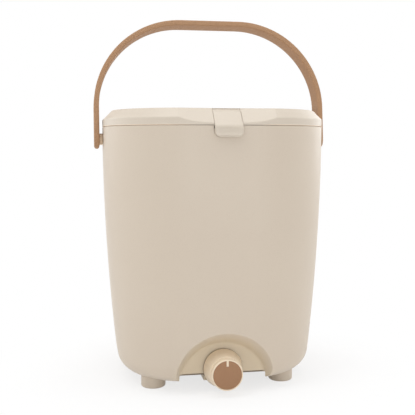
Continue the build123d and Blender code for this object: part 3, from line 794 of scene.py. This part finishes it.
@dataclass
class PivotPin:
    """One of the two pins that carry the handle: a square tenon in the strap, a boss and a snap shaft.

    The profile gives the distance out from the bin's wall and the radius.
    """

    finishes: Finishes
    side: Side
    pivot_z: float = 279.2
    wall_x: float = 126.5
    tilt_deg: float = 6.2
    tenon: float = 7.0
    tenon_length: float = 5.9
    tenon_edge: float = 0.5
    strap: float = 6.0
    steps: int = 48
    smooth_deg: float = 32.0
    profile: tuple[tuple[float, float], ...] = (
        (-6.9, 0.0), (-6.9, 4.0), (-6.4, 4.5), (-5.5, 4.5), (-5.3, 5.0), (-4.5, 5.0), (-4.3, 4.5), (0.3, 4.5),
        (0.3, 6.2), (0.7, 6.6), (3.8, 6.6), (4.2, 6.2), (4.2, 0.0))

    def build(self) -> None:
        """Turn the boss and shaft, and add the tenon, whose end shows in the strap and is in its finish."""
        name = f"{self.side.name.lower()}_pivot_pin"
        pin = Workpiece(f"{name}_moulding")
        bm = pin.bm
        places = [(self.side * (self.wall_x + out), 0, self.pivot_z + radius) for out, radius in self.profile]
        verts = [bm.verts.new(place) for place in places]
        edges = [bm.edges.new(pair) for pair in zip(verts, verts[1:])]
        pin.spin([*verts, *edges], (0, 0, self.pivot_z), (1, 0, 0), 2 * pi, self.steps)
        shoulder_x = self.wall_x + self.profile[-1][0]
        place = Matrix.Translation((self.side * (shoulder_x + self.strap / 2), 0, self.pivot_z))
        turn = Matrix.Rotation(-radians(self.tilt_deg), 4, "X")
        pin.block((self.tenon_length, self.tenon, self.tenon), place @ turn, self.tenon_edge)
        moulding = pin.close(Body.HANDLE, Slot.TAN, self.finishes.boss, [name], smooth_deg=self.smooth_deg)
        moulding.data.materials.append(self.finishes.strap)
        for polygon in moulding.data.polygons:
            polygon.material_index = int(abs(polygon.center.x) > (shoulder_x - NEAR_MM) * MM)


@dataclass
class Latch:
    """The front latch: a plate in the lid's dip that bends down over the seam and ends in a pull lip.

    Heights are counted from the seam, and "out" is the distance to the front from the bin's front wall.
    """

    finishes: Finishes
    front_y: float = -113.0
    seam_z: float = 293.5
    width: float = 30.4
    corner: float = 6.2
    drop: float = 12.6
    stand_off: float = 2.0
    face_out: float = 4.2
    lip_out: float = 4.9
    lip_top: float = -11.0
    lip_foot: float = -7.6
    lip_rows: int = 5
    plate_sum: float = 2.6314
    under_sum: float = -0.4799
    bend: float = 8.0
    bend_start: float = -4.8823
    bend_end: float = 0.7746
    bend_rows: int = 6
    plate_top: float = 15.3686
    barrel_radius: float = 3.45
    barrel_edge: float = 0.4
    barrel_place: tuple[float, float] = (15.0, 13.1058)
    bead: tuple[float, float] = (-9.4, -8.2)
    bead_reach: float = 0.4
    grip_half: float = 9.8
    grip_rows: tuple[float, ...] = (-11.3, -6.4, -3.4)
    grip_width: float = 0.8
    grip_depth: float = 0.25
    edge: float = 1.2

    def front_out(self, height: float) -> float:
        """How far the front stands out: the lip, its swell, the flat face, the bend and the sloping plate.

        Args:
            height: The height over the seam, in mm.

        Returns:
            The distance from the bin's front wall, in mm.
        """
        if height <= self.lip_top:
            return self.lip_out
        if height <= self.lip_foot:
            share = (height - self.lip_top) / (self.lip_foot - self.lip_top)
            share = share * share * (3 - 2 * share)
            return self.lip_out + share * (self.face_out - self.lip_out)
        if height <= self.bend_start:
            return self.face_out
        if height <= self.bend_end:
            return self.face_out - self.bend + sqrt(self.bend ** 2 - (height - self.bend_start) ** 2)
        return self.plate_sum - height

    def back_out(self, height: float) -> float:
        """How far the back stands out at a height over the seam."""
        return min(self.stand_off, self.under_sum - height)

    def build(self) -> None:
        """Build the plate as a flat slab, bend it to the latch's profile, and add the barrel."""
        latch = Workpiece("latch_plate")
        self.cut_slab(latch)
        self.bend_slab(latch)
        self.add_barrel(latch)
        bmesh.ops.translate(latch.bm, verts=latch.bm.verts[:], vec=(0, self.front_y, self.seam_z))
        latch.close(Body.LATCH, Slot.LID, self.finishes.latch, ["latch"])

    def cut_slab(self, latch: Workpiece) -> None:
        """Lay the outline, push it to a slab with a rounded front rim, and cut it into rows.

        Args:
            latch: The empty workpiece.
        """
        bm = latch.bm
        half = self.width / 2
        corners = [bm.verts.new((x, 0, z)) for x, z in (
            (-half, -self.drop), (half, -self.drop), (half, self.plate_top), (-half, self.plate_top))]
        bm.faces.new(corners)
        latch.round_corners(corners[:2], self.corner, segments=8)
        latch.push(bm.faces[:], (0, self.face_out - self.stand_off, 0))
        bm.normal_update()
        rims = [
            e for e in latch.crisp_edges()
            if all(abs(v.co.y) < NEAR_MM for v in e.verts)
            and any(v.co.z < self.plate_top - NEAR_MM for v in e.verts)]
        latch.soften(rims, self.edge, segments=4)
        bend_step = (self.bend_end - self.bend_start) / self.bend_rows
        lip_step = (self.lip_foot - self.lip_top) / self.lip_rows
        for height in (
                *(self.bend_start + bend_step * row for row in range(self.bend_rows + 1)),
                *(row + side * self.grip_width / 2 for row in self.grip_rows for side in (-1, 1)),
                *self.bead,
                *(self.lip_top + lip_step * row for row in range(self.lip_rows + 1)),
                self.under_sum - self.stand_off):
            latch.cut((0, 0, height), (0, 0, 1))
        for side in (-1, 1):
            latch.cut((side * self.grip_half, 0, 0), (1, 0, 0))

    def bend_slab(self, latch: Workpiece) -> None:
        """Bend the slab to the profile, sink the grip grooves, and raise the bead behind the lip.

        Args:
            latch: The slab, cut into rows.
        """
        bm = latch.bm
        back_y = self.face_out - self.stand_off - NEAR_MM
        low, high = self.bead
        middles = {f: f.calc_center_median() for f in bm.faces}
        grooves = [
            f for f, middle in middles.items() for row in self.grip_rows
            if abs(middle.y) < NEAR_MM and abs(middle.z - row) < self.grip_width / 2
            and abs(middle.x) < self.grip_half]
        snap = [f for f, middle in middles.items() if middle.y > back_y and low < middle.z < high]
        for vert in bm.verts:
            if vert.co.y > back_y:
                vert.co.y = -self.back_out(vert.co.z)
            else:
                vert.co.y -= self.front_out(vert.co.z)
        latch.push(snap, (0, self.bead_reach, 0))
        latch.push(grooves, (0, self.grip_depth, 0))
        latch.drop([*snap, *grooves])

    def add_barrel(self, latch: Workpiece) -> None:
        """Add the barrel that turns on the latch's pin.

        Args:
            latch: The bent plate.
        """
        across = Matrix.Translation((0, *self.barrel_place)) @ Matrix.Rotation(pi / 2, 4, "Y")
        barrel = bmesh.ops.create_cone(
            latch.bm, cap_ends=True, segments=40, radius1=self.barrel_radius, radius2=self.barrel_radius,
            depth=self.width, matrix=across)["verts"]
        ends = [e for e in latch.edges_of(barrel) if abs(e.verts[0].co.x - e.verts[1].co.x) < NEAR_MM]
        latch.soften(ends, self.barrel_edge, segments=2)


@dataclass
class TapKnob:
    """The tap's knob: a short cup with a thin rim, a pointer bar and a pressed-in disc."""

    finishes: Finishes
    centre_z: float = 25.6
    back_y: float = -101.6
    radius: float = 17.1
    length: float = 7.8
    rim: float = 1.3
    edge: float = 0.6
    rim_edge: float = 0.3
    recess: float = 1.6
    pointer: tuple[float, float] = (2.4, 6.2)
    pointer_sunk: float = 0.1
    pointer_overlap: float = 0.6
    pointer_edge: float = 0.25
    socket_radius: float = 5.7
    socket_depth: float = 2.6
    inlay_gap: float = 0.12
    inlay_edge: float = 0.3

    def build(self) -> None:
        """Build the cup and the disc."""
        self.build_cup()
        self.build_inlay()

    def build_cup(self) -> None:
        """Push a disc to a cup, sink its front and the stem's socket, and lay the pointer across the rim."""
        cup = Workpiece("tap_knob_cup")
        bm = cup.bm
        seat = cup.disc(self.radius, (0, self.back_y, self.centre_z))
        front = cup.push([seat], (0, -self.length, 0))
        back = max(bm.faces, key=lambda f: f.calc_center_median().y)
        sides = cup.edges_of([*front, back])
        bmesh.ops.inset_region(bm, faces=front, thickness=self.rim, use_even_offset=True)
        rim = cup.edges_of(front)
        cup.push(front, (0, self.recess, 0))
        bmesh.ops.inset_region(bm, faces=[back], thickness=self.radius - self.socket_radius, use_even_offset=True)
        cup.push([back], (0, -self.socket_depth, 0))
        cup.drop([*front, back])
        cup.soften([e for e in sides if e.is_valid], self.edge, segments=4)
        cup.soften([e for e in rim if e.is_valid], self.rim_edge, segments=2)
        width, length = self.pointer
        height, depth = length + self.pointer_overlap, self.recess + self.pointer_sunk
        foot_z = self.centre_z + self.radius - self.rim - length
        middle = Matrix.Translation((0, self.back_y - self.length + depth / 2, foot_z + height / 2))
        cup.block((width, depth, height), middle, self.pointer_edge)
        cup.close(Body.TAP, Slot.BODY, self.finishes.tap, ["tap_knob"])

    def build_inlay(self) -> None:
        """Cut a slot for the pointer into a disc and give it thickness."""
        inlay = Workpiece("tap_knob_disc")
        bm = inlay.bm
        reach = self.radius - self.rim
        width, length = self.pointer
        floor_y = self.back_y - self.length + self.recess
        inlay.disc(reach - self.inlay_gap, (0, floor_y, self.centre_z))
        slot_half = width / 2 + self.inlay_gap
        slot_foot = self.centre_z + reach - length - self.inlay_gap
        for side in (-1, 1):
            inlay.cut((side * slot_half, 0, 0), (1, 0, 0))
        inlay.cut((0, 0, slot_foot), (0, 0, 1))
        inlay.drop([
            f for f in bm.faces
            if abs(f.calc_center_median().x) < slot_half and f.calc_center_median().z > slot_foot])
        front = inlay.push(bm.faces[:], (0, self.inlay_gap - self.recess, 0))
        face = set(inlay.edges_of(front))
        inlay.soften([e for e in inlay.crisp_edges() if e in face], self.inlay_edge, segments=3)
        inlay.close(Body.TAP, Slot.TAN, self.finishes.inlay, ["tap_knob_inlay"])


@dataclass
class CadPieces:
    """The nodes whose CAD shape is right: they keep their mesh and get their finish."""

    finishes: Finishes

    def dress(self) -> None:
        """Give each of these nodes its material."""
        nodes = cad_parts
        dressed = {
            self.finishes.body: (
                "bin_body", "front_left_foot", "front_right_foot", "rear_left_foot", "rear_right_foot"),
            self.finishes.tap: ("tap_housing",),
            self.finishes.lid: ("lid_cover",),
            self.finishes.inner: ("strainer", "lid_liner", "tap_nut", "tap_plug"),
            self.finishes.seal: ("tap_seal", "tap_o_rings", "lid_gasket"),
            self.finishes.steel: (
                "tap_knob_screw", "lid_liner_screws", "left_hinge_pin", "right_hinge_pin", "latch_pin"),
        }
        for material, names in dressed.items():
            for name in names:
                self.cover(nodes[name], material)
                log.info("%s keeps its CAD mesh, in %s", name, material.name)

    def cover(self, node: bpy.types.Object, material: bpy.types.Material) -> None:
        """Assign a material to an object's own slots.

        Args:
            node: The CAD node.
            material: Its finish.
        """
        for slot in node.material_slots:
            slot.link = "OBJECT"
            slot.material = material


@dataclass(frozen=True)
class Lamp:
    """A round soft lamp: where it hangs and its width, in metres, and its power, in watts."""

    name: str
    place: tuple[float, float, float]
    size: float
    power: float


@dataclass
class Studio:
    """The camera at the photograph's angle, a soft light tent and a pale floor."""

    camera_mm: tuple[float, float, float] = (-153.05, -865.28, 273.32)
    pitch_deg: float = 4.92
    yaw_deg: float = 9.83
    focal_px: float = 734.1
    aim: tuple[float, float, float] = (0.0, 0.0, 0.2)
    lamps: tuple[Lamp, ...] = (
        Lamp("top", (0.0, -0.1, 2.2), 1.5, 15.7),
        Lamp("left", (-1.6, -0.1, 0.7), 1.1, 3.0),
        Lamp("right", (1.6, -0.1, 0.7), 1.1, 3.0),
        Lamp("left_back", (-1.4, 0.9, 0.7), 1.1, 5.4),
        Lamp("right_back", (1.4, 0.9, 0.7), 1.1, 7.2),
        Lamp("high_left", (-0.9, -0.6, 1.6), 0.8, 4.9),
        Lamp("high_right", (0.9, -0.6, 1.6), 0.8, 2.2),
        Lamp("low_front", (0.15, -1.8, 0.3), 1.0, 5.6),
    )
    tent_strength: float = 0.44
    floor_radius: float = 3.0
    floor_colour: str = "#FBFBFB"
    floor_fade: tuple[float, float] = (0.12, 0.28)
    floor_white: tuple[float, float] = (0.72, 1.0)

    def build(self) -> None:
        """Set up the whole stage."""
        self.place_camera()
        for lamp in self.lamps:
            self.hang(lamp)
        self.set_tent()
        self.lay_floor()
        bpy.context.scene.view_settings.view_transform = "Standard"

    def place_camera(self) -> None:
        """Place the camera where the photograph was taken from."""
        data = bpy.data.cameras.new("camera")
        data.sensor_width = SENSOR_MM
        data.lens = self.focal_px / IMAGE_SIZE * SENSOR_MM
        camera = bpy.data.objects.new("camera", data)
        camera.location = [c * MM for c in self.camera_mm]
        camera.rotation_euler = (radians(90 - self.pitch_deg), 0, radians(-self.yaw_deg))
        bpy.context.scene.collection.objects.link(camera)
        bpy.context.scene.camera = camera

    def hang(self, lamp: Lamp) -> None:
        """Hang a lamp and aim it at the bin.

        Args:
            lamp: The lamp's place, width and power.
        """
        data = bpy.data.lights.new(lamp.name, "AREA")
        data.shape = "DISK"
        data.size = lamp.size
        data.energy = lamp.power
        light = bpy.data.objects.new(lamp.name, data)
        light.location = lamp.place
        way = Vector(self.aim) - Vector(lamp.place)
        light.rotation_euler = way.to_track_quat("-Z", "Y").to_euler()
        bpy.context.scene.collection.objects.link(light)

    def set_tent(self) -> None:
        """Surround the bin with a white tent that the viewer sees in full and that lights it dimly."""
        world = bpy.data.worlds.new("tent")
        bpy.context.scene.world = world
        tree = empty_tree(world)
        dim = add_node(tree, "ShaderNodeBackground", inputs={"Color": WHITE, "Strength": self.tent_strength})
        white = add_node(tree, "ShaderNodeBackground", inputs={"Color": WHITE, "Strength": 1.0})
        mixed = add_node(tree, "ShaderNodeMixShader", inputs={
            0: add_viewer_test(tree), 1: dim.outputs["Background"], 2: white.outputs["Background"]})
        add_node(tree, "ShaderNodeOutputWorld", inputs={"Surface": mixed.outputs["Shader"]})

    def lay_floor(self) -> None:
        """Lay a round pale floor that fades to the white surround."""
        bm = bmesh.new()
        bmesh.ops.create_circle(bm, cap_ends=True, radius=self.floor_radius, segments=96)
        mesh = bpy.data.meshes.new("studio_floor")
        bm.to_mesh(mesh)
        bm.free()
        mesh.materials.append(self.floor_material())
        floor = bpy.data.objects.new("studio_floor", mesh)
        bpy.context.scene.collection.objects.link(floor)

    def floor_material(self) -> bpy.types.Material:
        """Build the floor's material: matt paper near the bin, plain white further out.

        Returns:
            The finished material.
        """
        material = bpy.data.materials.new("pale_floor")
        tree = empty_tree(material)
        far = add_node(tree, "ShaderNodeVectorMath", {"operation": "LENGTH"}, {0: object_place(tree)})
        fade = remap(tree, far.outputs["Value"], self.floor_fade, self.floor_white, smooth=True)
        share = add_node(tree, "ShaderNodeMath", {"operation": "MULTIPLY"}, {0: fade, 1: add_viewer_test(tree)})
        matt = add_node(tree, "ShaderNodeBsdfDiffuse", inputs={
            "Color": linear(self.floor_colour), "Roughness": 0.5})
        white = add_node(tree, "ShaderNodeEmission", inputs={"Color": WHITE, "Strength": 1.0})
        mixed = add_node(tree, "ShaderNodeMixShader", inputs={
            0: share.outputs["Value"], 1: matt.outputs["BSDF"], 2: white.outputs["Emission"]})
        add_node(tree, "ShaderNodeOutputMaterial", inputs={"Surface": mixed.outputs["Shader"]})
        return material


def main() -> None:
    """Build the bin, sub-assembly by sub-assembly, and its stage."""
    logging.basicConfig(level=logging.INFO, format="%(name)s: %(message)s")
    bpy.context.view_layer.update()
    finishes = Finishes()
    CadPieces(finishes).dress()
    Handle(finishes).build()
    for side in Side:
        PivotPin(finishes, side).build()
    Latch(finishes).build()
    TapKnob(finishes).build()
    Studio().build()


if __name__ == "__main__":
    main()
